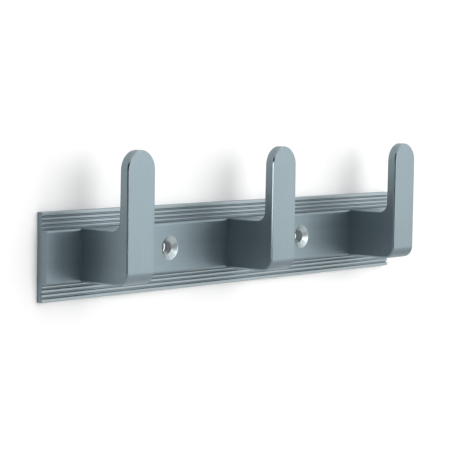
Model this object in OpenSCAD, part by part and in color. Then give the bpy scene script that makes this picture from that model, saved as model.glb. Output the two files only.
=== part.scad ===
// Wall hook rack: a ribbed backing plate with three rigid L-shaped hooks.
// +X runs along the rack, +Y points into the wall and +Z is up.
// The origin is the centre of the plate's flat back, which lies on the wall.

/* [Plate] */
// Length of the plate
plate_l = 260; // [230:1:400]
// Height of the plate
plate_h = 40; // [40:1:60]
// Thickness of the plate at its top and bottom edges
edge_t = 3.3; // [2.8:0.1:4]
// How far the inner lands lie below the edge lands
land_drop = 0.2; // [0.1:0.1:0.4]
// Thickness of the plate at its central band
band_t = 6; // [5:0.1:8]
// Height of the central band, which is also the height of a hook's arm
band_h = 24.2; // [22:0.1:25.2]
// Radius of the band's two long shoulders
shoulder_r = 1.25; // [0.5:0.05:1.8]

/* [Grooves] */
// Number of grooves above the band, and again below it
groove_count = 3; // [1:1:3]
// Distance from one groove to the next
groove_pitch = 2; // [1.5:0.1:2]
// Width of a groove
groove_w = 0.9; // [0.5:0.1:1]
// Depth of a groove below the inner lands
groove_d = 0.8; // [0.5:0.1:1.2]
// Distance from the plate's edge to the centre of the outermost groove
groove_inset = 2; // [1.2:0.1:2]
// Width of the relief cut in the land beside each shoulder of the band
relief_w = 0.6; // [0.4:0.1:0.8]
// Depth of that cut below the inner lands
relief_d = 0.6; // [0.3:0.1:0.8]

/* [Hooks] */
// Distance between the centres of two hooks
hook_pitch = 100; // [60:1:105]
// Width of a hook
hook_w = 17.8; // [15:0.1:24]
// Distance from the wall to the front of the finger
hook_reach = 34.5; // [28:0.5:50]
// Height of the finger's tip above the plate's centre
hook_top = 47.8; // [40:0.1:70]
// Thickness of the finger where it leaves the arm
finger_root_t = 5; // [4.8:0.1:6]
// Thickness of the finger at its tip
finger_tip_t = 4.7; // [3:0.1:4.7]
// Radius of the rounded heel, where the front face turns under the arm
heel_r = 6; // [1.5:0.1:8]
// Radius inside the crook, between the arm and the finger
crook_r = 4.5; // [2:0.5:8]
// Bevel that runs down the front face, round the heel and under the arm
edge_bevel = 0.7; // [0.2:0.1:1.2]

/* [Wall screw holes] */
// Diameter of the two holes for wall screws
wall_hole_d = 6; // [4:0.1:6.5]
// Diameter of their countersinks at the front
wall_sink_d = 11.2; // [9:0.1:12]
// Depth of those countersinks
wall_sink_depth = 1.8; // [1.5:0.1:2.6]

/* [Hook screws] */
// Thread diameter of the screws that hold the hooks
screw_d = 4; // [3:0.5:4]
// Length of those screws, head included
screw_len = 14; // [10:1:14]
// Distance between the two screws of a hook
screw_pitch = 14; // [11:0.5:15]
// Diameter of their countersinks at the plate's back
screw_sink_d = 8.4; // [7:0.1:8.4]

/* [Hidden] */

// Facets of every round, and how far a cutter runs past the face it opens
$fn = 96;
past = 1;

land_t = edge_t - land_drop;
edge_land_w = groove_inset - groove_w / 2;

// Clearances that keep a screw clear of the plate and of its tapped hole
screw_gap = 0.25;
thread_gap = 0.05;
seat_gap = 0.02;
head_sunk = 0.25;

// A screw's tapped hole goes this far beyond its end, and ends in a drill point
hole_spare = 2;
drill_point_angle = 59;

// Cross recess of a screw head
recess_r = 2.2;
recess_tip_r = 0.6;
recess_depth = 1.9;
recess_slot_w = 0.9;

// The finger's back leans by this angle, from its root thickness to its tip thickness
lean = atan((finger_root_t - finger_tip_t) / (hook_top - band_h / 2));
tip_r = hook_w / 2;
tip_z = hook_top - tip_r;
heel_z = heel_r - band_h / 2;

function side_x(side) = side * hook_pitch;

// Depth coordinate of the finger's back at a given height
function finger_back(z) =
    finger_root_t - hook_reach - (z - band_h / 2) * tan(lean);

// Lays a (Y, Z) outline out along X, centred on the origin
module along_x(length) {
    rotate([90, 0, 90])
        linear_extrude(length, center = true)
            children();
}

// Points a shape that was drawn along +Z towards the front, -Y
module to_front() {
    rotate([90, 0, 0])
        children();
}

// ---- Plate ----

module band_profile() {
    translate([shoulder_r - band_t, -band_h / 2])
        square([band_t - shoulder_r, band_h]);
    translate([-band_t, shoulder_r - band_h / 2])
        square([band_t, band_h - 2 * shoulder_r]);
    for (side = [-1, 1])
        translate([shoulder_r - band_t, side * (band_h / 2 - shoulder_r)])
            circle(shoulder_r);
}

// One groove with a round bottom, open to the front
module groove_profile() {
    translate([groove_d - groove_w / 2 - land_t, 0])
        circle(groove_w / 2);
    translate([-land_t - past, -groove_w / 2])
        square([past + groove_d - groove_w / 2, groove_w]);
}

// A narrow slot in the land, along the foot of the band's upper or lower shoulder
module relief_profile(side) {
    translate([(relief_d - past) / 2 - land_t, side * (band_h + relief_w) / 2])
        square([relief_d + past, relief_w], center = true);
}

module plate_profile() {
    difference() {
        union() {
            translate([-land_t, -plate_h / 2])
                square([land_t, plate_h]);
            for (side = [-1, 1])
                translate([-edge_t / 2, side * (plate_h - edge_land_w) / 2])
                    square([edge_t, edge_land_w], center = true);
            band_profile();
        }
        for (side = [-1, 1], i = [0 : groove_count - 1])
            translate([0, side * (plate_h / 2 - groove_inset - i * groove_pitch)])
                groove_profile();
        for (side = [-1, 1])
            relief_profile(side);
    }
}

// A countersunk hole through the band, with its wide end at the front
module wall_hole() {
    widening = (wall_sink_d - wall_hole_d) / wall_sink_depth;
    translate([0, past, 0])
        to_front()
            cylinder(d = wall_hole_d, h = band_t + 2 * past);
    translate([0, wall_sink_depth - band_t, 0])
        to_front()
            cylinder(d1 = wall_hole_d, d2 = wall_sink_d + past * widening, h = wall_sink_depth + past);
}

// A countersunk hole through the band, with its wide end at the back
module screw_hole() {
    hole_d = screw_d + 2 * screw_gap;
    sink_depth = (screw_sink_d - hole_d) / 2;
    translate([0, past, 0])
        to_front()
            cylinder(d = hole_d, h = band_t + 2 * past);
    translate([0, past, 0])
        to_front()
            cylinder(d1 = screw_sink_d + 2 * past, d2 = hole_d, h = sink_depth + past);
}

module back_plate() {
    color([0.56, 0.63, 0.67])
        difference() {
            along_x(plate_l)
                plate_profile();
            for (side = [-1, 1])
                translate([side * hook_pitch / 2, 0, 0])
                    wall_hole();
            for (side = [-1, 0, 1], level = [-1, 1])
                translate([side_x(side), 0, level * screw_pitch / 2])
                    screw_hole();
        }
}

// ---- Hooks ----

// Outline of the finger seen from the side, with the block below it that joins the arm
module finger_side() {
    joined_y = heel_r + past - hook_reach;
    polygon([
        [-hook_reach, heel_z],
        [joined_y, heel_z],
        [joined_y, band_h / 2],
        [finger_back(band_h / 2), band_h / 2],
        [finger_back(hook_top), hook_top],
        [-hook_reach, hook_top]
    ]);
}

// Fills the corner between the arm's top and the finger's back with a round
module crook_fillet() {
    centre_z = band_h / 2 + crook_r;
    centre_y = finger_back(centre_z) + crook_r / cos(lean);
    touch_z = centre_z - crook_r * sin(lean);
    touch_y = centre_y - crook_r * cos(lean);
    root_y = finger_back(band_h / 2) - finger_tip_t / 2;
    difference() {
        polygon([
            [root_y, band_h / 2 - past],
            [centre_y, band_h / 2 - past],
            [centre_y, band_h / 2],
            [touch_y, touch_z],
            [root_y, touch_z]
        ]);
        translate([centre_y, centre_z])
            circle(crook_r);
    }
}

// Width across, depth outwards, with the two outer corners bevelled
module bevelled_face(depth) {
    polygon([
        [-hook_w / 2, 0],
        [-hook_w / 2, depth - edge_bevel],
        [edge_bevel - hook_w / 2, depth],
        [hook_w / 2 - edge_bevel, depth],
        [hook_w / 2, depth - edge_bevel],
        [hook_w / 2, 0]
    ]);
}

// The finger's form from the front: bevelled sides and a bevelled half-round tip
module finger_front() {
    depth = max(heel_r, finger_root_t) + past;
    translate([0, depth - hook_reach, heel_z])
        linear_extrude(tip_z - heel_z)
            mirror([0, 1])
                bevelled_face(depth);
    translate([0, depth - hook_reach, tip_z])
        to_front() {
            cylinder(r = tip_r, h = depth - edge_bevel);
            translate([0, 0, depth - edge_bevel])
                cylinder(r1 = tip_r, r2 = tip_r - edge_bevel, h = edge_bevel);
        }
}

// Quarter turn of the bevelled face, from the front to the underside
module heel() {
    translate([0, heel_r - hook_reach, heel_z])
        rotate([0, 90, 0])
            rotate([0, 0, -90])
                rotate_extrude(angle = 90)
                    rotate(-90)
                        bevelled_face(heel_r);
}

module arm() {
    translate([0, -band_t, 0])
        to_front()
            linear_extrude(hook_reach - heel_r - band_t)
                translate([0, band_h / 2])
                    mirror([0, 1])
                        bevelled_face(band_h);
}

// Blind tapped hole in the arm, drawn at the thread's diameter
module tapped_hole() {
    depth = screw_len + head_sunk + hole_spare;
    to_front() {
        cylinder(d = screw_d, h = depth);
        translate([0, 0, depth])
            cylinder(d1 = screw_d, d2 = 0, h = screw_d / 2 / tan(drill_point_angle));
    }
}

module hook(side) {
    color([0.6, 0.67, 0.71])
        translate([side_x(side), 0, 0])
            difference() {
                union() {
                    intersection() {
                        along_x(hook_w + 2 * past)
                            finger_side();
                        finger_front();
                    }
                    heel();
                    arm();
                    along_x(hook_w)
                        crook_fillet();
                }
                for (level = [-1, 1])
                    translate([0, 0, level * screw_pitch / 2])
                        tapped_hole();
            }
}

// ---- Hook screws ----

// Cross recess in the head, narrowing inwards
module cross_recess() {
    intersection() {
        cylinder(r1 = recess_r, r2 = recess_tip_r, h = recess_depth);
        for (turn = [0, 90])
            rotate([0, 0, turn])
                translate([-recess_r, -recess_slot_w / 2, -past])
                    cube([2 * recess_r, recess_slot_w, recess_depth + 2 * past]);
    }
}

// Countersunk machine screw from its flat head to its bevelled end
module screw(side, level) {
    shank_r = screw_d / 2 - thread_gap;
    head_r = screw_sink_d / 2 - head_sunk - seat_gap;
    point = 0.5;
    color([0.75, 0.76, 0.78])
        translate([side_x(side), -head_sunk, level * screw_pitch / 2])
            to_front()
                difference() {
                    union() {
                        cylinder(r1 = head_r, r2 = shank_r, h = head_r - shank_r);
                        cylinder(r = shank_r, h = screw_len - point);
                        translate([0, 0, screw_len - point])
                            cylinder(r1 = shank_r, r2 = shank_r - point, h = point);
                    }
                    translate([0, 0, -seat_gap])
                        cross_recess();
                }
}

back_plate();
hook(-1);  // hook_left
hook(0);  // hook_middle
hook(1);  // hook_right
screw(-1, 1);  // screw_left_upper
screw(-1, -1);  // screw_left_lower
screw(0, 1);  // screw_middle_upper
screw(0, -1);  // screw_middle_lower
screw(1, 1);  // screw_right_upper
screw(1, -1);  // screw_right_lower
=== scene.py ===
"""Looks of the wall hook rack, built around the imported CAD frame.

Every length is in metres, in the CAD's own frame: +X along the rack, +Y into the wall, +Z up.
"""
import math

import bmesh
import bpy
from mathutils import Matrix, Vector


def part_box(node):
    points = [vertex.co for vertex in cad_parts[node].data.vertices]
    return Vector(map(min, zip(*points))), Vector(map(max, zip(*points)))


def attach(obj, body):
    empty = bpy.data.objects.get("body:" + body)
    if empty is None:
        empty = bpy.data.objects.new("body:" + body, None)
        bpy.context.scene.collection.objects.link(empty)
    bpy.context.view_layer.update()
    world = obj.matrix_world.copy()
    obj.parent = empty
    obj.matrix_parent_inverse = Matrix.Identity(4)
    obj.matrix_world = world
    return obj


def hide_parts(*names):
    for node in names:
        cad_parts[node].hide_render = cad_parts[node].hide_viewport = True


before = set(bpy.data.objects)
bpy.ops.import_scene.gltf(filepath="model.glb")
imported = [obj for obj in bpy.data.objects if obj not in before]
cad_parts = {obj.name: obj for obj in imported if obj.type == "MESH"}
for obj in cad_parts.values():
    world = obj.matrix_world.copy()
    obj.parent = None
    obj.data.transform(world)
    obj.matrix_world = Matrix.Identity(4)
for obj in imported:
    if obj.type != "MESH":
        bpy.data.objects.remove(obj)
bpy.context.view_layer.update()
scene = bpy.context.scene

MM = 0.001
SIDES = {"left": -1, "middle": 0, "right": 1}
LEVELS = {"lower": -1, "upper": 1}

# ---- Sizes, from the frame where it has them ----

plate_low, plate_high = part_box("back_plate")
hook_low, hook_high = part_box("hook_middle")
screw_low, screw_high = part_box("screw_middle_upper")

PLATE_LENGTH = plate_high.x - plate_low.x
PLATE_HALF = plate_high.z
BAND_T = -plate_low.y
BAND_HALF = -hook_low.z
HOOK_WIDTH = hook_high.x - hook_low.x
HOOK_REACH = -hook_low.y
HOOK_TOP = hook_high.z
HOOK_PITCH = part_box("hook_right")[1].x - hook_high.x
SCREW_Z = (screw_low.z + screw_high.z) / 2
SCREW_SUNK = -screw_high.y
SCREW_LENGTH = screw_high.y - screw_low.y
SCREW_HEAD_R = (screw_high.x - screw_low.x) / 2

# Plate section
EDGE_T = 3.3 * MM
LAND_T = 3.1 * MM
SHOULDER_R = 1.25 * MM
GROOVE_COUNT = 3
GROOVE_PITCH = 2.0 * MM
GROOVE_WIDTH = 0.9 * MM
GROOVE_DEPTH = 0.8 * MM
GROOVE_INSET = 2.0 * MM
GROOVE_ROUND = 0.49 * GROOVE_WIDTH
RELIEF_WIDTH = 0.6 * MM
RELIEF_DEPTH = 0.6 * MM
RELIEF_ROUND = 0.3 * RELIEF_WIDTH
LAND_ROUND = 0.15 * MM
EDGE_ROUND = 0.3 * MM
END_ROUND = 0.12 * MM

# Wall screw holes and hook screw holes
WALL_HOLE_R = 3.0 * MM
WALL_SINK_R = 5.6 * MM
WALL_SINK_DEPTH = 1.8 * MM
WALL_SINK_LIP = 0.12 * MM
SCREW_HOLE_R = 2.25 * MM
SCREW_SINK_R = 4.2 * MM
HOLE_SPARE = 2.0 * MM
DRILL_HALF_ANGLE = math.radians(59)

# Hook screws. The flank and root share out a thread's pitch between ridge and valley
THREAD_R = 2.0 * MM
THREAD_GAP = 0.05 * MM
THREAD_PITCH = 0.7 * MM
THREAD_DEPTH = 0.38 * MM
THREAD_STEPS = 8
THREAD_FLANK = 3.6
THREAD_ROOT = 0.3
RECESS_R = 2.2 * MM
RECESS_TIP_R = 0.6 * MM
RECESS_DEPTH = 1.9 * MM
RECESS_SLOT = 0.9 * MM
RECESS_ARM_SHARE = 0.6
HEAD_RIM = 0.3 * MM
POINT_BEVEL = 0.25 * MM

# Hook section
FINGER_ROOT_T = 5.0 * MM
FINGER_TIP_T = 4.7 * MM
HEEL_R = 6.0 * MM
CROOK_R = 4.5 * MM
FRONT_BEVEL = 0.7 * MM
BEVEL_ROUND = 0.15 * MM
BACK_ROUND = 0.45 * MM
BACK_ROUND_SEGMENTS = 4
TIP_R = HOOK_WIDTH / 2
TIP_Z = HOOK_TOP - TIP_R

# How far a cutter reaches past the face that it cuts
PAST = 1.0 * MM

# Fineness of round shapes
ROUND_STEPS = 64
ARC_STEPS = 20
CORNER_STEPS = 5
END_STEPS = 4

# Shading: a sharper turn than this stays an edge
SHARP_ANGLE = math.radians(40)
NORMAL_WEIGHT = 80

# A metal piece's material slots
SATIN, MACHINED = 0, 1


# ---- Mesh helpers ----

def arc(centre, radius, start, end, steps):
    """Points on a circle from one angle to another, in degrees, both ends included."""
    points = []
    for i in range(steps + 1):
        angle = math.radians(start + (end - start) * i / steps)
        points.append((centre[0] + radius * math.cos(angle), centre[1] + radius * math.sin(angle)))
    return points


def rounded(corners, steps=CORNER_STEPS):
    """A closed outline whose corners, given as (a, b, radius), are replaced with arcs."""
    points = []
    count = len(corners)
    for i, (a, b, radius) in enumerate(corners):
        corner = Vector((a, b))
        if radius <= 0:
            points.append(tuple(corner))
            continue
        before = (Vector(corners[i - 1][:2]) - corner).normalized()
        after = (Vector(corners[(i + 1) % count][:2]) - corner).normalized()
        half = before.angle(after) / 2
        reach = radius / math.tan(half)
        centre = corner + (before + after).normalized() * (radius / math.sin(half))
        first = corner + before * reach - centre
        turn = first.angle_signed(corner + after * reach - centre)
        for step in range(steps + 1):
            angle = -turn * step / steps
            c, s = math.cos(angle), math.sin(angle)
            points.append((centre.x + first.x * c - first.y * s, centre.y + first.x * s + first.y * c))
    return points


def outline_normals(points):
    """The outward normal at each point of a closed outline that runs clockwise."""
    normals = []
    count = len(points)
    for i in range(count):
        before = (Vector(points[i]) - Vector(points[i - 1])).normalized()
        after = (Vector(points[(i + 1) % count]) - Vector(points[i])).normalized()
        along = (before + after).normalized()
        stretch = 1 / max(along.dot(after), 0.5)
        normals.append((-along.y * stretch, along.x * stretch))
    return normals


def new_object(name, bm, materials=()):
    """A linked object made from a bmesh, with its normals turned outwards."""
    bmesh.ops.recalc_face_normals(bm, faces=bm.faces)
    mesh = bpy.data.meshes.new(name)
    bm.to_mesh(mesh)
    bm.free()
    for material in materials:
        mesh.materials.append(material)
    made = bpy.data.objects.new(name, mesh)
    scene.collection.objects.link(made)
    return made


def rings_to_bmesh(rings, closed=True):
    """Joins equal rings of 3-D points with quads, and caps both ends."""
    bm = bmesh.new()
    loops = [[bm.verts.new(p) for p in ring] for ring in rings]
    count = len(rings[0])
    for one, two in zip(loops, loops[1:]):
        for i in range(count):
            j = (i + 1) % count
            bm.faces.new((one[i], one[j], two[j], two[i]))
    if closed:
        bm.faces.new(loops[0])
        bm.faces.new(loops[-1])
    return bm


def lathe(outline, place, steps=ROUND_STEPS):
    """A bmesh turned about an axis along -Y through place; the outline is (radius, depth) pairs."""
    bm = bmesh.new()
    loops = []
    for radius, depth in outline:
        if radius <= 0:
            loops.append([bm.verts.new((place.x, place.y - depth, place.z))])
            continue
        ring = []
        for i in range(steps):
            angle = 2 * math.pi * i / steps
            x, z = radius * math.cos(angle), radius * math.sin(angle)
            ring.append(bm.verts.new((place.x + x, place.y - depth, place.z + z)))
        loops.append(ring)
    for one, two in zip(loops, loops[1:]):
        for i in range(steps):
            j = (i + 1) % steps
            corners = [one[i % len(one)], one[j % len(one)], two[j % len(two)], two[i % len(two)]]
            bm.faces.new(list(dict.fromkeys(corners)))
    return bm


def joined(parts):
    """One bmesh that holds all the given ones."""
    whole = bmesh.new()
    for part in parts:
        mesh = bpy.data.meshes.new("part")
        part.to_mesh(mesh)
        part.free()
        whole.from_mesh(mesh)
        bpy.data.meshes.remove(mesh)
    return whole


def cut(body, parts):
    """Takes solids, given as bmeshes, out of a body's mesh. Their faces keep their material's place."""
    cutter = new_object("cutter", joined(parts), body.data.materials)
    modifier = body.modifiers.new("cut", "BOOLEAN")
    modifier.operation = "DIFFERENCE"
    modifier.solver = "EXACT"
    modifier.object = cutter
    bpy.context.view_layer.update()
    graph = bpy.context.evaluated_depsgraph_get()
    mesh = bpy.data.meshes.new_from_object(body.evaluated_get(graph))
    body.modifiers.clear()
    body.data = mesh
    bpy.data.objects.remove(cutter)


def finish_piece(piece, node):
    """Smooth shading that keeps flat faces flat, then the piece takes the CAD node's place."""
    for polygon in piece.data.polygons:
        polygon.use_smooth = True
    piece.data.set_sharp_from_angle(angle=SHARP_ANGLE)
    weighted = piece.modifiers.new("weighted_normals", "WEIGHTED_NORMAL")
    weighted.keep_sharp = True
    weighted.weight = NORMAL_WEIGHT
    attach(piece, "root")
    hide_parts(node)


# ---- Materials ----

SATIN_DARK = (0.202, 0.254, 0.278, 1)
SATIN_LIGHT = (0.220, 0.275, 0.301, 1)
SATIN_WORN = (0.36, 0.41, 0.43, 1)
# Painted highlight: the fronts of the plate's ribs are painted this lighter tone, standing in for light
# they catch above and below the hooks
RIB_PAINTED_HIGHLIGHT = (0.275, 0.322, 0.340, 1)
RIB_FADE = 0.4 * MM
SATIN_ROUGH = (0.39, 0.44)
BEVEL_TONES = ((0.235, 0.285, 0.308, 1), (0.265, 0.315, 0.335, 1))
BEVEL_ROUGHS = (0.12, 0.17)
SINK_TONES = ((0.34, 0.39, 0.41, 1), (0.43, 0.48, 0.50, 1))
SINK_ROUGHS = (0.28, 0.38)
ZINC_COOL = (0.62, 0.66, 0.70, 1)
ZINC_WARM = (0.70, 0.68, 0.62, 1)
WEAR_REACH = 0.4 * MM
RING_PITCH = 0.35 * MM

# Satin metal: faint drawn lines, a fine grain, slow clouds, and wear on the edges
LINE_SIZE = 1.1 * MM
GRAIN_SIZE = 0.28 * MM
CLOUD_SIZE = 30 * MM
WEAR_PATCH_SIZE = 6 * MM
WEAR_TINT = 0.3
WEAR_POLISH = 0.05
LINE_HEIGHT = 0.6
SATIN_BUMP = 0.0007 * MM
PLATE_STRETCH = (0.02, 1, 1)
HOOK_STRETCH = (1, 1, 0.04)

# Machined metal, zinc plate and paint
TOOL_PATCH_SIZE = 2 * MM
BEVEL_BUMP = 0.001 * MM
SINK_BUMP = 0.003 * MM
CRYSTAL_SIZE = 0.6 * MM
ZINC_ROUGH = (0.22, 0.42)
ZINC_BUMP = 0.003 * MM
STIPPLE_SIZE = 2.5 * MM
STIPPLE_BUMP = 0.03 * MM
PAINT_DRIFT_SIZE = 0.4
PAINT_DARKER = 0.96
PAINT_ROUGH = (0.82, 0.95)


def add(material, kind, inputs=(), **settings):
    """A new node. Each input is a number, a colour, a vector or another node's output."""
    tree = material.node_tree
    made = tree.nodes.new(kind)
    for key, value in settings.items():
        setattr(made, key, value)
    for key, value in dict(inputs).items():
        if isinstance(value, bpy.types.NodeSocket):
            tree.links.new(value, made.inputs[key])
        else:
            made.inputs[key].default_value = value
    return made


def arithmetic(material, operation, one, two=0.0):
    """The result of a Math node."""
    return add(material, "ShaderNodeMath", {0: one, 1: two}, operation=operation).outputs[0]


def place_in(material, stretch=(1, 1, 1)):
    """Where a point lies on the object, in metres, with each axis scaled."""
    place = add(material, "ShaderNodeTexCoord").outputs["Object"]
    if stretch == (1, 1, 1):
        return place
    return add(material, "ShaderNodeVectorMath", {0: place, 1: stretch}, operation="MULTIPLY").outputs[0]


def noise(material, place, size, detail=2.0):
    """Noise from 0 to 1 whose patches are about size metres across."""
    inputs = {"Vector": place, "Scale": 1 / size, "Detail": detail}
    return add(material, "ShaderNodeTexNoise", inputs).outputs["Fac"]


def remap(material, value, low, high, to_low, to_high):
    """A value moved from one range to another, and held inside it."""
    inputs = {"Value": value, "From Min": low, "From Max": high, "To Min": to_low, "To Max": to_high}
    return add(material, "ShaderNodeMapRange", inputs).outputs["Result"]


def blend(material, share, one, two):
    """A colour mixed from two."""
    inputs = {0: share, 6: one, 7: two}
    return add(material, "ShaderNodeMix", inputs, data_type="RGBA").outputs[2]


def edge_wear(material, place):
    """1 on edges that hands and cloth rub bright, in broken patches, and 0 elsewhere."""
    softened = add(material, "ShaderNodeBevel", {"Radius": WEAR_REACH}, samples=4).outputs[0]
    flat = add(material, "ShaderNodeNewGeometry").outputs["Normal"]
    turn = add(material, "ShaderNodeVectorMath", {0: softened, 1: flat}, operation="DOT_PRODUCT")
    edge = remap(material, turn.outputs["Value"], 0.99, 0.88, 0, 1)
    patches = remap(material, noise(material, place, WEAR_PATCH_SIZE, 4), 0.4, 0.65, 0.1, 1)
    return arithmetic(material, "MULTIPLY", edge, patches)


def new_material(name, metallic=1.0):
    """A material with a fresh shader, bare metal unless told otherwise."""
    material = bpy.data.materials.new(name)
    material.use_nodes = True
    material.node_tree.nodes["Principled BSDF"].inputs["Metallic"].default_value = metallic
    return material


def wire(material, **outputs):
    """Links finished values to the shader's sockets."""
    shader = material.node_tree.nodes["Principled BSDF"]
    for key, value in outputs.items():
        material.node_tree.links.new(value, shader.inputs[key.replace("_", " ")])


def bump(material, height, depth):
    """A normal for height values from 0 to 1 that stand depth metres high."""
    inputs = {"Height": height, "Distance": depth, "Strength": 1.0}
    return add(material, "ShaderNodeBump", inputs).outputs["Normal"]


def rib_tops(material, place):
    """1 on the fronts of the plate's ribs, and 0 in its grooves and on its band. It places the ribs'
    painted highlight.
    """
    split = add(material, "ShaderNodeSeparateXYZ", {0: place}).outputs
    height = arithmetic(material, "ABSOLUTE", split["Z"])
    raised = remap(material, split["Y"], RIB_FADE - LAND_T, RIB_FADE / 4 - LAND_T, 0, 1)
    beyond = remap(material, height, BAND_HALF, BAND_HALF + RELIEF_WIDTH, 0, 1)
    return arithmetic(material, "MULTIPLY", raised, beyond)


def satin_metal(name, stretch, painted_highlight_places=None):
    """Blasted and anodised grey-blue metal, with faint lines drawn out along one axis. Where a mask of
    places is given, those places get a painted highlight: a lighter tone.
    """
    material = new_material(name)
    place = place_in(material)
    lines = noise(material, place_in(material, stretch), LINE_SIZE, 3)
    grain = noise(material, place, GRAIN_SIZE)
    clouds = noise(material, place, CLOUD_SIZE)
    wear = edge_wear(material, place)
    shade = remap(material, arithmetic(material, "ADD", lines, clouds), 0.7, 1.3, 0, 1)
    colour = blend(material, shade, SATIN_DARK, SATIN_LIGHT)
    # Painted highlight: the masked places are blended towards a lighter tone
    if painted_highlight_places:
        colour = blend(material, painted_highlight_places(material, place), colour, RIB_PAINTED_HIGHLIGHT)
    colour = blend(material, arithmetic(material, "MULTIPLY", wear, WEAR_TINT), colour, SATIN_WORN)
    rough = remap(material, arithmetic(material, "ADD", lines, grain), 0.6, 1.4, *SATIN_ROUGH)
    rough = arithmetic(material, "SUBTRACT", rough, arithmetic(material, "MULTIPLY", wear, WEAR_POLISH))
    height = arithmetic(material, "ADD", grain, arithmetic(material, "MULTIPLY", lines, LINE_HEIGHT))
    wire(material, Base_Color=colour, Roughness=rough, Normal=bump(material, height, SATIN_BUMP))
    return material


def machined_metal(name, tones, roughs, height_of, depth):
    """Metal cut by a tool, then anodised. height_of gives the tool marks' height at a place."""
    material = new_material(name)
    place = place_in(material)
    marks = height_of(material, place)
    patches = noise(material, place, TOOL_PATCH_SIZE, 3)
    colour = blend(material, patches, *tones)
    rough = remap(material, arithmetic(material, "ADD", marks, patches), 0.5, 1.5, *roughs)
    wire(material, Base_Color=colour, Roughness=rough, Normal=bump(material, marks, depth))
    return material


def milled_marks(material, place):
    """Fine marks of the cutter that made the hooks' front bevels, drawn out down the edge."""
    return noise(material, place_in(material, (1, 0.2, 0.2)), 0.4 * MM, 3)


def turned_marks(material, place):
    """Rings round the axis of each wall screw hole, left by the countersinking tool."""
    split = add(material, "ShaderNodeSeparateXYZ", {0: place}).outputs
    across = arithmetic(material, "SUBTRACT", arithmetic(material, "ABSOLUTE", split["X"]), HOOK_PITCH / 2)
    radius = arithmetic(material, "POWER", across, 2.0)
    radius = arithmetic(material, "ADD", radius, arithmetic(material, "POWER", split["Z"], 2.0))
    radius = arithmetic(material, "SQRT", radius)
    phase = arithmetic(material, "MULTIPLY", radius, 2 * math.pi / RING_PITCH)
    rings = remap(material, arithmetic(material, "SINE", phase), -1, 1, 0.2, 0.8)
    return arithmetic(material, "MULTIPLY", rings, noise(material, place, 1.5 * MM, 3))


def zinc_plate(name):
    """Zinc-plated steel: fine crystals, a faint colour drift and turning scratches."""
    material = new_material(name)
    place = place_in(material)
    inputs = {"Vector": place, "Scale": 1 / CRYSTAL_SIZE}
    crystals = add(material, "ShaderNodeTexVoronoi", inputs).outputs["Distance"]
    drift = noise(material, place, 4 * MM, 3)
    scratches = noise(material, place_in(material, (1, 8, 1)), 0.5 * MM, 4)
    colour = blend(material, remap(material, drift, 0.35, 0.65, 0, 1), ZINC_COOL, ZINC_WARM)
    rough = remap(material, arithmetic(material, "ADD", crystals, scratches), 0.3, 1.3, *ZINC_ROUGH)
    height = arithmetic(material, "ADD", crystals, scratches)
    wire(material, Base_Color=colour, Roughness=rough, Normal=bump(material, height, ZINC_BUMP))
    return material


def painted(name, colour, one_way=False):
    """Matt rolled paint. A one-way surface can't be seen from behind, so the plate's back can."""
    material = new_material(name, 0.0)
    shader = material.node_tree.nodes["Principled BSDF"]
    place = place_in(material)
    stipple = noise(material, place, STIPPLE_SIZE, 4)
    drift = noise(material, place, PAINT_DRIFT_SIZE, 2)
    darker = (*(PAINT_DARKER * c for c in colour), 1)
    paint = blend(material, drift, darker, (*colour, 1))
    rough = remap(material, stipple, 0.3, 0.7, *PAINT_ROUGH)
    wire(material, Base_Color=paint, Roughness=rough, Normal=bump(material, stipple, STIPPLE_BUMP))
    if one_way:
        behind = add(material, "ShaderNodeNewGeometry").outputs["Backfacing"]
        clear = add(material, "ShaderNodeBsdfTransparent").outputs[0]
        mixed = add(material, "ShaderNodeMixShader", {0: behind, 1: shader.outputs[0], 2: clear})
        out = material.node_tree.nodes["Material Output"]
        material.node_tree.links.new(mixed.outputs[0], out.inputs["Surface"])
    return material


# The plate's rib fronts carry a painted highlight
plate_satin = satin_metal("plate_satin", PLATE_STRETCH, rib_tops)
hook_satin = satin_metal("hook_satin", HOOK_STRETCH)
bevel_cut = machined_metal("bevel_cut", BEVEL_TONES, BEVEL_ROUGHS, milled_marks, BEVEL_BUMP)
sink_cut = machined_metal("sink_cut", SINK_TONES, SINK_ROUGHS, turned_marks, SINK_BUMP)
screw_zinc = zinc_plate("screw_zinc")


# ---- Plate ----

def plate_outline():
    """The plate's section as (y, z) points, clockwise: up the front, then down the back."""
    half = [
        (-BAND_T, BAND_HALF, SHOULDER_R),
        (RELIEF_DEPTH - LAND_T, BAND_HALF, RELIEF_ROUND),
        (RELIEF_DEPTH - LAND_T, BAND_HALF + RELIEF_WIDTH, RELIEF_ROUND),
        (-LAND_T, BAND_HALF + RELIEF_WIDTH, LAND_ROUND),
    ]
    for i in reversed(range(GROOVE_COUNT)):
        centre = PLATE_HALF - GROOVE_INSET - i * GROOVE_PITCH
        inner, outer = centre - GROOVE_WIDTH / 2, centre + GROOVE_WIDTH / 2
        far_t = EDGE_T if i == 0 else LAND_T
        half.append((-LAND_T, inner, LAND_ROUND))
        half.append((GROOVE_DEPTH - LAND_T, inner, GROOVE_ROUND))
        half.append((GROOVE_DEPTH - LAND_T, outer, GROOVE_ROUND))
        half.append((-far_t, outer, LAND_ROUND))
    half.append((-EDGE_T, PLATE_HALF, EDGE_ROUND))
    half.append((0, PLATE_HALF, EDGE_ROUND))
    lower = [(y, -z, radius) for y, z, radius in half]
    corners = half + list(reversed(lower))
    return rounded(corners)


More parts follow.
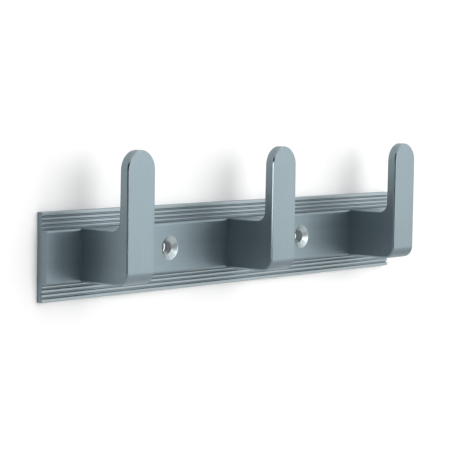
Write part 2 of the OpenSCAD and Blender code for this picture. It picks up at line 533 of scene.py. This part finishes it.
def plate_body():
    """The section swept along X, with both ends slightly rounded off."""
    points = plate_outline()
    normals = outline_normals(points)
    stations = []
    for i in range(END_STEPS + 1):
        angle = math.pi / 2 * i / END_STEPS
        stations.append((END_ROUND * (1 - math.sin(angle)), END_ROUND * (1 - math.cos(angle))))
    left = [(inset, plate_low.x + back) for inset, back in stations]
    right = [(inset, plate_high.x - back) for inset, back in reversed(stations)]
    rings = []
    for inset, x in left + right:
        rings.append([(x, y - inset * ny, z - inset * nz) for (y, z), (ny, nz) in zip(points, normals)])
    return new_object("plate", rings_to_bmesh(rings), (plate_satin, sink_cut))


def wall_hole(x):
    """Cutter for a countersunk wall screw hole, open at both faces, with a softened rim."""
    lip = WALL_SINK_LIP
    widening = (WALL_SINK_R - WALL_HOLE_R) / WALL_SINK_DEPTH
    outline = [(0, -PAST), (WALL_HOLE_R, -PAST), (WALL_HOLE_R, BAND_T - WALL_SINK_DEPTH)]
    outline.append((WALL_SINK_R - lip * widening, BAND_T - lip))
    outline.append((WALL_SINK_R + lip, BAND_T))
    outline.append((WALL_SINK_R + lip, BAND_T + PAST))
    outline.append((0, BAND_T + PAST))
    bm = lathe(outline, Vector((x, 0, 0)), 2 * ROUND_STEPS)
    for face in bm.faces:
        face.material_index = MACHINED
    return bm


def screw_hole(x, z):
    """Cutter for a hook screw's hole, countersunk from the plate's back."""
    sink = SCREW_SINK_R - SCREW_HOLE_R
    outline = [(0, -PAST), (SCREW_SINK_R + PAST, -PAST), (SCREW_HOLE_R, sink)]
    outline += [(SCREW_HOLE_R, BAND_T + PAST), (0, BAND_T + PAST)]
    bm = lathe(outline, Vector((x, 0, z)))
    for face in bm.faces:
        face.material_index = MACHINED
    return bm


def make_plate():
    """The plate with its wall screw holes and the holes for the hook screws."""
    plate = plate_body()
    cutters = [wall_hole(side * HOOK_PITCH / 2) for side in (-1, 1)]
    for side in SIDES.values():
        for level in LEVELS.values():
            cutters.append(screw_hole(side * HOOK_PITCH, level * SCREW_Z))
    cut(plate, cutters)
    finish_piece(plate, "back_plate")


# ---- Hooks ----

def finger_back(z):
    """Depth coordinate of the finger's leaning back at a given height."""
    share = (z - BAND_HALF) / (HOOK_TOP - BAND_HALF)
    return FINGER_ROOT_T + (FINGER_TIP_T - FINGER_ROOT_T) * share - HOOK_REACH


def hook_lines():
    """The hook's front and back seen from the side, as (y, z) points from the plate to the tip."""
    lean = math.atan((FINGER_ROOT_T - FINGER_TIP_T) / (HOOK_TOP - BAND_HALF))
    crook_z = BAND_HALF + CROOK_R
    crook_y = finger_back(crook_z) + CROOK_R / math.cos(lean)
    lean_degrees = math.degrees(lean)
    front = [(-BAND_T, -BAND_HALF)]
    front += arc((HEEL_R - HOOK_REACH, HEEL_R - BAND_HALF), HEEL_R, 270, 180, ARC_STEPS)
    front.append((-HOOK_REACH, TIP_Z))
    back = [(-BAND_T, BAND_HALF)]
    back += arc((crook_y, crook_z), CROOK_R, 270, 180 + lean_degrees, ARC_STEPS)
    back.append((finger_back(TIP_Z), TIP_Z))
    return front, back


def hook_body(name, x):
    """An L-shaped solid: both outer edge chains are bevelled, and the contact face is left sharp."""
    front, back = hook_lines()
    bm = bmesh.new()

    def row(points, side):
        return [bm.verts.new((x + side * HOOK_WIDTH / 2, y, z)) for y, z in points]

    def tip_arc(depth):
        made = []
        for i in range(1, ROUND_STEPS // 2):
            angle = math.pi - math.pi * i / (ROUND_STEPS // 2)
            z = TIP_Z + TIP_R * math.sin(angle)
            made.append(bm.verts.new((x + TIP_R * math.cos(angle), depth(z), z)))
        return made

    front_left, front_right = row(front, -1), row(front, 1)
    back_left, back_right = row(back, -1), row(back, 1)
    front_tip = tip_arc(lambda z: -HOOK_REACH)
    back_tip = tip_arc(finger_back)
    for left, right in ((front_left, front_right), (back_left, back_right)):
        for i in range(len(left) - 2):
            bm.faces.new((left[i], right[i], right[i + 1], left[i + 1]))
    bm.faces.new([front_left[-2], front_left[-1]] + front_tip + [front_right[-1], front_right[-2]])
    bm.faces.new([back_left[-2], back_left[-1]] + back_tip + [back_right[-1], back_right[-2]])
    front_crown = [front_left[-1]] + front_tip + [front_right[-1]]
    back_crown = [back_left[-1]] + back_tip + [back_right[-1]]
    for i in range(len(front_crown) - 1):
        bm.faces.new((front_crown[i], front_crown[i + 1], back_crown[i + 1], back_crown[i]))
    bm.faces.new(front_left + list(reversed(back_left)))
    bm.faces.new(front_right + list(reversed(back_right)))
    bm.faces.new((front_left[0], front_right[0], back_right[0], back_left[0]))
    bmesh.ops.recalc_face_normals(bm, faces=bm.faces)

    front_chain = front_left + front_tip + list(reversed(front_right))
    back_chain = back_left + back_tip + list(reversed(back_right))
    bevel_chain(bm, back_chain, BACK_ROUND, BACK_ROUND_SEGMENTS, SATIN)
    made = bevel_chain(bm, front_chain, FRONT_BEVEL, 1, MACHINED)
    rims = {edge for face in made for edge in face.edges}
    rims = [edge for edge in rims if sum(face in made for face in edge.link_faces) == 1]
    rims = [edge for edge in rims if all(abs(v.co.y + BAND_T) > 0.01 * MM for v in edge.verts)
            or edge.calc_length() > 2 * FRONT_BEVEL]
    bmesh.ops.bevel(bm, geom=rims, offset=BEVEL_ROUND, offset_type="OFFSET", segments=2,
                    profile=0.5, affect="EDGES", clamp_overlap=False, material=SATIN)
    for face in bm.faces:
        if face.calc_center_median().z < HEEL_R - BAND_HALF:
            face.material_index = SATIN
    return new_object(name, bm, (hook_satin, bevel_cut))


def bevel_chain(bm, chain, width, segments, material):
    """Bevels the edges between neighbours in a list of vertices; returns the new faces."""
    edges = []
    for one, two in zip(chain, chain[1:]):
        edge = bm.edges.get((one, two))
        if edge is not None:
            edges.append(edge)
    made = bmesh.ops.bevel(bm, geom=edges, offset=width, offset_type="OFFSET", segments=segments,
                           profile=0.5, affect="EDGES", clamp_overlap=False, material=material)
    return set(made["faces"])


def tapped_hole(x, z):
    """Cutter for the blind hole that a hook screw turns into."""
    depth = SCREW_SUNK + SCREW_LENGTH + HOLE_SPARE
    point = THREAD_R / math.tan(DRILL_HALF_ANGLE)
    outline = [(0, BAND_T - PAST), (THREAD_R, BAND_T - PAST), (THREAD_R, depth), (0, depth + point)]
    bm = lathe(outline, Vector((x, 0, z)), ROUND_STEPS // 2)
    for face in bm.faces:
        face.material_index = MACHINED
    return bm


def make_hook(name, side):
    """One hook with its two tapped holes."""
    x = side * HOOK_PITCH
    hook = hook_body("coat_hook_" + name, x)
    holes = [tapped_hole(x, level * SCREW_Z) for level in LEVELS.values()]
    cut(hook, holes)
    finish_piece(hook, "hook_" + name)


# ---- Hook screws ----

def thread_rings(place, start, end, crest):
    """Rings of a screw thread along -Y: each point's radius follows the helix."""
    rings = []
    count = round((end - start) / THREAD_PITCH * THREAD_STEPS)
    for i in range(count + 1):
        depth = start + (end - start) * i / count
        fade = min(1, (depth - start) / THREAD_PITCH, (end - depth) / THREAD_PITCH)
        ring = []
        for j in range(ROUND_STEPS // 2):
            turn = 2 * j / ROUND_STEPS
            phase = (depth / THREAD_PITCH + turn) % 1
            ridge = min(1, max(0, THREAD_FLANK * (0.5 - abs(phase - 0.5)) - THREAD_ROOT))
            radius = crest - THREAD_DEPTH * (1 - ridge * fade)
            angle = 2 * math.pi * turn
            x, z = radius * math.cos(angle), radius * math.sin(angle)
            ring.append((place.x + x, place.y - depth, place.z + z))
        rings.append(ring)
    return rings


def circle_ring(place, radius, depth):
    """A ring of points round a screw's axis."""
    points = arc((place.x, place.z), radius, 0, 360, ROUND_STEPS // 2)[:-1]
    return [(x, place.y - depth, z) for x, z in points]


def cross_recess(place):
    """Cutter for the cross recess in a screw's head, narrowing inwards."""
    rings = []
    for depth, reach in ((-PAST, RECESS_R), (0, RECESS_R), (RECESS_DEPTH, RECESS_TIP_R)):
        half = min(RECESS_SLOT / 2, reach * RECESS_ARM_SHARE)
        ring = []
        for turn in range(4):
            c, s = round(math.cos(turn * math.pi / 2)), round(math.sin(turn * math.pi / 2))
            for a, b in ((half, half), (reach, half), (reach, -half)):
                ring.append((place.x + a * c + b * s, place.y - depth, place.z + a * s - b * c))
        rings.append(ring)
    return rings_to_bmesh(rings)


def make_screw(side_name, side, level_name, level):
    """Countersunk machine screw: flat head with a cross recess, plain neck and rolled thread."""
    place = Vector((side * HOOK_PITCH, -SCREW_SUNK, level * SCREW_Z))
    crest = THREAD_R - THREAD_GAP
    neck = crest - THREAD_DEPTH / 2
    cone_end = SCREW_HEAD_R - neck
    head = [(SCREW_HEAD_R - HEAD_RIM, 0), (SCREW_HEAD_R - HEAD_RIM / 3, HEAD_RIM / 3)]
    head += [(SCREW_HEAD_R - HEAD_RIM / 3, HEAD_RIM), (neck, cone_end), (neck, cone_end + THREAD_PITCH)]
    thread_start = cone_end + 1.5 * THREAD_PITCH
    point = THREAD_DEPTH + POINT_BEVEL
    rings = [circle_ring(place, radius, depth) for radius, depth in head]
    rings += thread_rings(place, thread_start, SCREW_LENGTH - point, crest)
    rings.append(circle_ring(place, crest - THREAD_DEPTH - POINT_BEVEL, SCREW_LENGTH))
    name = "machine_screw_" + side_name + "_" + level_name
    screw = new_object(name, rings_to_bmesh(rings), (screw_zinc,))
    cut(screw, [cross_recess(place)])
    finish_piece(screw, "screw_" + side_name + "_" + level_name)


# ---- Stage, light and camera ----

WALL_Y = 0.05 * MM
WALL_LAP = 0.45 * MM
WALL_REACH = 1.6
FLOOR_DROP = 0.8
FLOOR_REACH = 10.0
BACKDROP_AWAY = 6.0
BACKDROP_TOP = 7.0
WALL_COLOUR = (0.86, 0.86, 0.86)
# Painted shade: the grey of the wall seen through the plate's screw holes
PAINTED_SHADE_COLOUR = (0.5, 0.5, 0.5)
FLOOR_COLOUR = (0.80, 0.80, 0.79)

# name: (place, size, power in watts)
LIGHTS = {
    "key": ((0, -1.6, 0.35), (0.75, 0.75), 7.8),
    "key_wide": ((0.25, -1.58, 0.45), (1.5, 1.5), 6.5),
    "key_right": ((0.65, -1.46, 0.35), (0.4, 0.9), 2.8),
    "right": ((1.3, -1.15, 0.1), (1.2, 1.6), 5.0),
    "top": ((0, -0.7, 1.3), (2.6, 1.3), 10.5),
    "strip": ((-0.755, -0.935, 0.11), (0.11, 0.38), 0.7),
    "back": ((0.5, 1.2, 0.6), (1.2, 1.2), 5),
}

# name: (direction, strength of the light from there)
GLOW = {
    "glow_right": ((1, 0, 0), 2.1),
    "glow_up": ((0, 0, 1), 0.3),
    "glow_back": ((0, 1, 0), 0.8),
}

CAMERA_PLACE = (-0.6895, -0.5848, 0.0770)
CAMERA_YAW = math.radians(49.564)
CAMERA_PITCH = math.radians(4.368)
CAMERA_ROLL = math.radians(0.883)
CAMERA_LENS = 147.4
CAMERA_SENSOR = 36


def panel(name, corners, material):
    """One flat piece of the stage."""
    mesh = bpy.data.meshes.new(name)
    mesh.from_pydata(corners, [], [range(len(corners))])
    mesh.materials.append(material)
    made = bpy.data.objects.new(name, mesh)
    scene.collection.objects.link(made)
    return made


def backdrop(name, corners, material):
    """A far panel that only closes the view: it takes no part in the object's light."""
    made = panel(name, corners, material)
    made.visible_diffuse = False
    made.visible_glossy = False
    made.visible_shadow = False


def wall_panel(name, low, high, material):
    """A part of the wall's front from one (x, z) corner to another."""
    corners = [(low[0], WALL_Y, low[1]), (high[0], WALL_Y, low[1])]
    corners += [(high[0], WALL_Y, high[1]), (low[0], WALL_Y, high[1])]
    panel(name, corners, material)


def make_stage():
    """A wall that is open behind the plate and seen through the plate's screw holes, and a floor. Inside
    the holes, the wall is a grey disc of painted shade.
    """
    wall = painted("wall_paint", WALL_COLOUR, one_way=True)
    hole_shade_paint = painted("painted_shade_wall_paint", PAINTED_SHADE_COLOUR, one_way=True)
    floor = painted("floor_paint", FLOOR_COLOUR)
    half, height = PLATE_LENGTH / 2 - WALL_LAP, PLATE_HALF - WALL_LAP
    wall_panel("wall_left", (-WALL_REACH, -FLOOR_DROP), (-half, WALL_REACH), wall)
    wall_panel("wall_right", (half, -FLOOR_DROP), (WALL_REACH, WALL_REACH), wall)
    wall_panel("wall_above", (-half, height), (half, WALL_REACH), wall)
    wall_panel("wall_below", (-half, -FLOOR_DROP), (half, -height), wall)
    # Painted shade: a grey disc in each wall screw hole stands for the shaded wall behind it
    for side in (-1, 1):
        rim = arc((side * HOOK_PITCH / 2, 0), WALL_HOLE_R - WALL_LAP, 0, 360, ROUND_STEPS)[:-1]
        panel("wall_in_hole", [(x, -WALL_Y, z) for x, z in rim], hole_shade_paint)
    near, far = -FLOOR_REACH, WALL_REACH
    corners = [(-FLOOR_REACH, near), (FLOOR_REACH, near), (FLOOR_REACH, far), (-FLOOR_REACH, far)]
    panel("floor", [(x, y, -FLOOR_DROP) for x, y in corners], floor)
    low, high = -FLOOR_DROP, BACKDROP_TOP
    left, right = -BACKDROP_AWAY, FLOOR_REACH
    corners = [(left, near, low), (left, far, low), (left, far, high), (left, near, high)]
    backdrop("backdrop_left", corners, floor)
    corners = [(left, near, low), (right, near, low), (right, near, high), (left, near, high)]
    backdrop("backdrop_front", corners, floor)


def area_light(name, place, size, power):
    """A white soft box that faces the rack and isn't seen by the camera."""
    data = bpy.data.lights.new(name, "AREA")
    data.shape = "RECTANGLE"
    data.size, data.size_y = size
    data.energy = power
    made = bpy.data.objects.new(name, data)
    scene.collection.objects.link(made)
    made.location = place
    made.rotation_mode = "QUATERNION"
    made.rotation_quaternion = (-Vector(place)).to_track_quat("-Z", "Y")
    made.visible_camera = False


def make_surroundings():
    """The room's glow: one soft white lobe of light from each direction in GLOW."""
    world = bpy.data.worlds.new("studio")
    world.use_nodes = True
    toward = add(world, "ShaderNodeTexCoord").outputs["Generated"]
    total = None
    for name, (axis, strength) in GLOW.items():
        facing = add(world, "ShaderNodeVectorMath", {0: toward, 1: axis}, operation="DOT_PRODUCT")
        lobe = arithmetic(world, "MAXIMUM", facing.outputs["Value"], 0.0)
        lobe = arithmetic(world, "POWER", lobe, 2.0)
        inputs = {0: (strength, strength, strength), "Scale": lobe}
        part = add(world, "ShaderNodeVectorMath", inputs, operation="SCALE", name=name)
        if total is None:
            total = part.outputs[0]
            continue
        sum_ = add(world, "ShaderNodeVectorMath", {0: total, 1: part.outputs[0]}, operation="ADD")
        total = sum_.outputs[0]
    world.node_tree.links.new(total, world.node_tree.nodes["Background"].inputs["Color"])
    scene.world = world


def make_lights():
    """The soft boxes and the room's glow."""
    for name, (place, size, power) in LIGHTS.items():
        area_light(name, place, size, power)
    make_surroundings()


def make_camera():
    """A long lens to the left of the rack, a little above its middle."""
    data = bpy.data.cameras.new("camera")
    data.sensor_width = CAMERA_SENSOR
    data.lens = CAMERA_LENS
    camera = bpy.data.objects.new("camera", data)
    scene.collection.objects.link(camera)
    turn = Matrix.Rotation(-CAMERA_YAW, 4, "Z") @ Matrix.Rotation(math.pi / 2 - CAMERA_PITCH, 4, "X")
    place = Matrix.Translation(CAMERA_PLACE)
    camera.matrix_world = place @ turn @ Matrix.Rotation(CAMERA_ROLL, 4, "Z")
    scene.camera = camera


make_camera()
make_plate()
for side_name, side_sign in SIDES.items():
    make_hook(side_name, side_sign)
    for level_name, level_sign in LEVELS.items():
        make_screw(side_name, side_sign, level_name, level_sign)
make_stage()
make_lights()
scene.view_settings.view_transform = "Standard"
